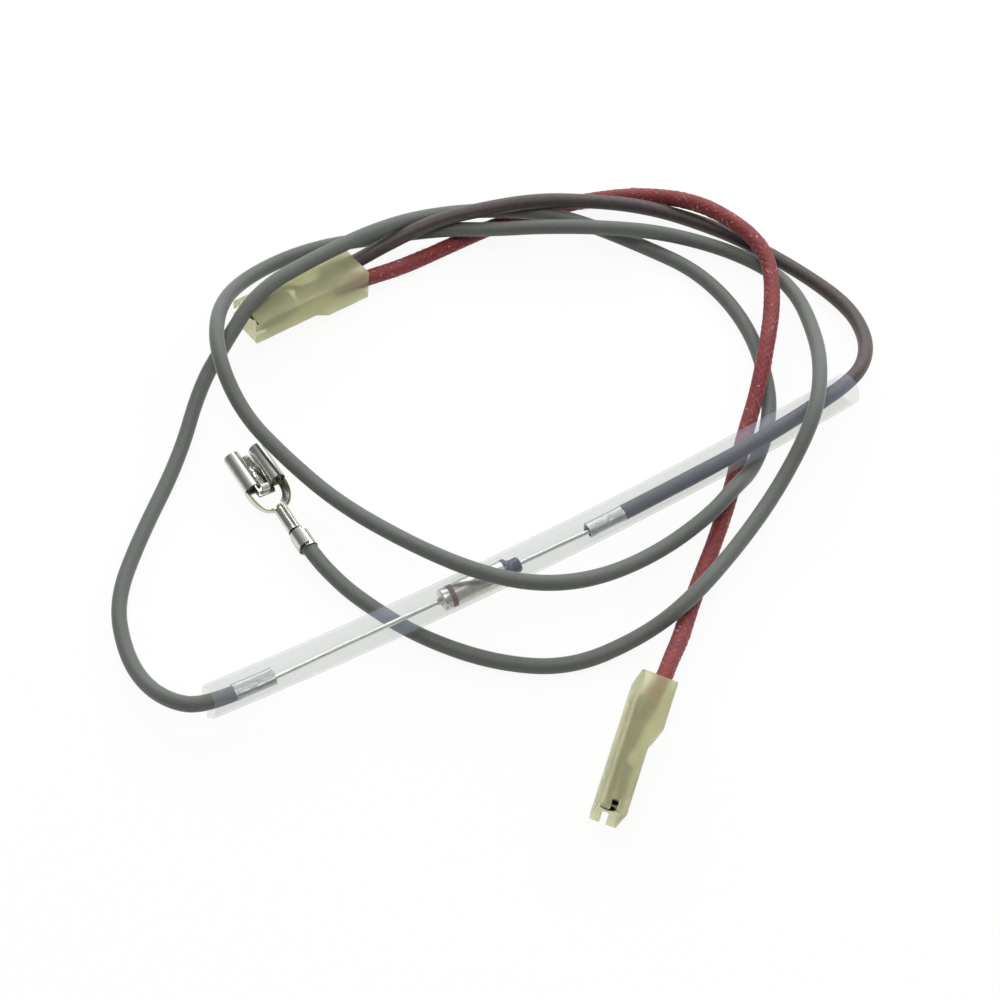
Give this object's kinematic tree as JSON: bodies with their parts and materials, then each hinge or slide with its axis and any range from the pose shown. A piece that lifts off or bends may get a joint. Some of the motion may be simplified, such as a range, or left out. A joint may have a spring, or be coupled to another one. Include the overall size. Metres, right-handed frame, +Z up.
{
  "type": "thermal cut-off lead set",
  "caption": "In-line thermal cut-off for a boiler: axial can and crimp splices in a clear loose sleeve, with grey, brown and red braided leads to bare and housed tab receptacles.",
  "frame": {"origin": "middle of the area that the sleeve, the housings and the bare receptacle cover, on the bench", "axes": "+X along the sleeve's chord, from the grey lead's end to the brown lead's end; +Z up from the bench"},
  "size_m": [0.1477, 0.132, 0.0161],
  "materials": {
    "clear_tube": "clear extruded tubing, slightly milky, with oblique cut ends",
    "case_metal": "plated drawn can with a rolled lip and one plain coloured band",
    "pellet_wax": "pressed organic pellet",
    "disc_brass": "punched brass disc",
    "spring_steel": "drawn spring wire",
    "star_bronze": "silver-plated bronze contact",
    "bushing_ceramic": "unglazed ceramic",
    "seal_epoxy": "dark potted epoxy",
    "lead_wire": "bright tinned copper wire",
    "tinned_crimp": "tin-plated brass strip, bright, with tool marks",
    "copper_strand": "bare stranded copper",
    "nylon": "natural moulded nylon, pale yellow-green, translucent",
    "grey_insulation": "grey matte silicone insulation",
    "brown_insulation": "dark brown braided and lacquered insulation",
    "red_braid": "dull red glass-fibre braid"
  },
  "bodies": {
    "root": {"cutoff_case": "case_metal", "thermal_pellet": "pellet_wax", "pellet_disc": "disc_brass", "contact_disc": "disc_brass", "barrel_spring": "spring_steel", "trip_spring": "spring_steel", "star_contact": "star_bronze", "ceramic_bushing": "bushing_ceramic", "epoxy_seal": "seal_epoxy", "case_lead": "lead_wire", "isolated_lead": "lead_wire", "grey_splice": "tinned_crimp", "grey_splice_core": "copper_strand", "brown_splice": "tinned_crimp", "brown_splice_core": "copper_strand", "pair_housing": "nylon", "single_housing": "nylon", "pair_receptacle": "tinned_crimp", "single_receptacle": "tinned_crimp", "bare_receptacle": "tinned_crimp", "pair_cores": "copper_strand", "single_core": "copper_strand", "bare_core": "copper_strand", "grey_cord": "grey_insulation", "brown_cord": "brown_insulation", "red_cord": "red_braid"},
    "sleeve": {"clear_sleeve": "clear_tube"}
  },
  "joints": [
    {"name": "sleeve_slide", "type": "slide", "parent": "root", "child": "sleeve", "axis": [1, 0, 0], "range_m": [-0.001, 0]}
  ]
}
